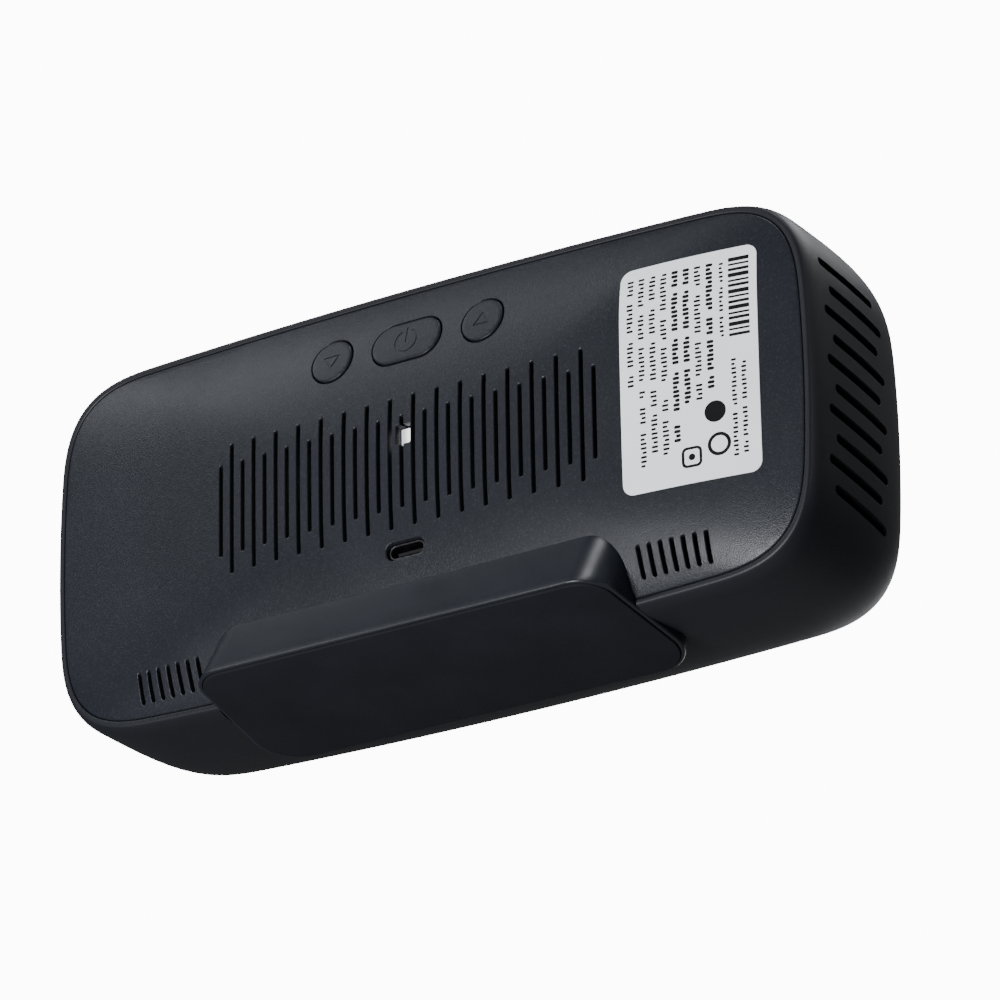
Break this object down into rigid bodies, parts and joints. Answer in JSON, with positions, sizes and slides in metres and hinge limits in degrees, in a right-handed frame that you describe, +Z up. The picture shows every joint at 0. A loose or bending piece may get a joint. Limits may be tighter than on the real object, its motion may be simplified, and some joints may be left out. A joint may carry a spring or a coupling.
{
  "type": "air quality monitor",
  "caption": "Desk-top air quality monitor with a crowned slotted rear cover, three rear buttons, a USB-C socket and a wedge foot.",
  "frame": {"origin": "centre of the foot pad's sole, on the surface that the monitor stands on", "axes": "+X right as seen from the display, +Y towards the rear cover, +Z up; the case leans back 12 degrees on the foot"},
  "size_m": [0.195, 0.0636, 0.0906],
  "materials": {
    "shell_plastic": "fine matt, near black",
    "cover_plastic": "fine sparkle texture, slate grey",
    "button_plastic": "fine matt, slate grey",
    "foot_plastic": "smooth satin, dark slate",
    "pad_rubber": "flat, near black",
    "label_film": "matt film, light grey",
    "lens_plastic": "polished, black",
    "sheet_steel": "plated",
    "circuit_board": "solder mask, green",
    "black_plastic": "moulded",
    "white_plastic": "moulded",
    "sensor_brass": "plated can",
    "cell_foil": "laminated pouch",
    "sensor_plastic": "moulded, dark blue grey"
  },
  "bodies": {
    "case": {"front_shell": "shell_plastic", "rear_cover": "cover_plastic", "foot": "foot_plastic", "foot_pad": "pad_rubber", "rating_label": "label_film", "front_lens": "lens_plastic", "lens_gasket": "black_plastic", "display_module": "black_plastic", "display_board": "circuit_board", "main_board": "circuit_board", "key_board": "circuit_board", "sensor_board": "circuit_board", "charge_board": "circuit_board", "battery_cell": "cell_foil", "battery_cradle": "black_plastic", "particle_sensor_case": "sensor_plastic", "carbon_dioxide_sensor": "sensor_plastic", "formaldehyde_sensor": "sensor_brass", "tvoc_sensor": "sheet_steel", "humidity_sensor": "white_plastic", "sensor_filter": "white_plastic", "mcu_chip": "black_plastic", "buzzer": "black_plastic", "socket_shell": "sheet_steel", "socket_tongue": "black_plastic", "switch_left": "sheet_steel", "switch_power": "sheet_steel", "switch_right": "sheet_steel", "screw_key_board_1": "sheet_steel", "screw_key_board_2": "sheet_steel", "screw_sensor_board_1": "sheet_steel", "screw_sensor_board_2": "sheet_steel", "screw_main_board_1": "sheet_steel", "screw_main_board_2": "sheet_steel", "screw_main_board_3": "sheet_steel", "screw_main_board_4": "sheet_steel", "screw_foot_1": "sheet_steel", "screw_foot_2": "sheet_steel"},
    "button_left": {"button_left": "button_plastic"},
    "plunger_left": {"switch_plunger_left": "black_plastic"},
    "button_power": {"button_power": "button_plastic"},
    "plunger_power": {"switch_plunger_power": "black_plastic"},
    "button_right": {"button_right": "button_plastic"},
    "plunger_right": {"switch_plunger_right": "black_plastic"},
    "fan": {"fan_rotor": "black_plastic"}
  },
  "joints": [
    {"name": "button_left_press", "type": "slide", "parent": "case", "child": "button_left", "axis": [0, -0.9781, 0.2079], "range_m": [0, 0.00035], "stiffness_N_per_m": 400},
    {"name": "plunger_left_press", "type": "slide", "parent": "case", "child": "plunger_left", "axis": [0, -0.9781, 0.2079], "range_m": [0, 0.0004]},
    {"name": "button_power_press", "type": "slide", "parent": "case", "child": "button_power", "axis": [0, -0.9781, 0.2079], "range_m": [0, 0.00035], "stiffness_N_per_m": 400},
    {"name": "plunger_power_press", "type": "slide", "parent": "case", "child": "plunger_power", "axis": [0, -0.9781, 0.2079], "range_m": [0, 0.0004]},
    {"name": "button_right_press", "type": "slide", "parent": "case", "child": "button_right", "axis": [0, -0.9781, 0.2079], "range_m": [0, 0.00035], "stiffness_N_per_m": 400},
    {"name": "plunger_right_press", "type": "slide", "parent": "case", "child": "plunger_right", "axis": [0, -0.9781, 0.2079], "range_m": [0, 0.0004]},
    {"name": "fan_spin", "type": "hinge", "parent": "case", "child": "fan", "pos_m": [-0.063, 0.00895, 0.04672], "axis": [0, 0.9781, -0.2079], "continuous": true}
  ],
  "couplings": [
    {"joint": "plunger_left_press", "follows": "button_left_press", "ratio": 1},
    {"joint": "plunger_power_press", "follows": "button_power_press", "ratio": 1},
    {"joint": "plunger_right_press", "follows": "button_right_press", "ratio": 1}
  ]
}
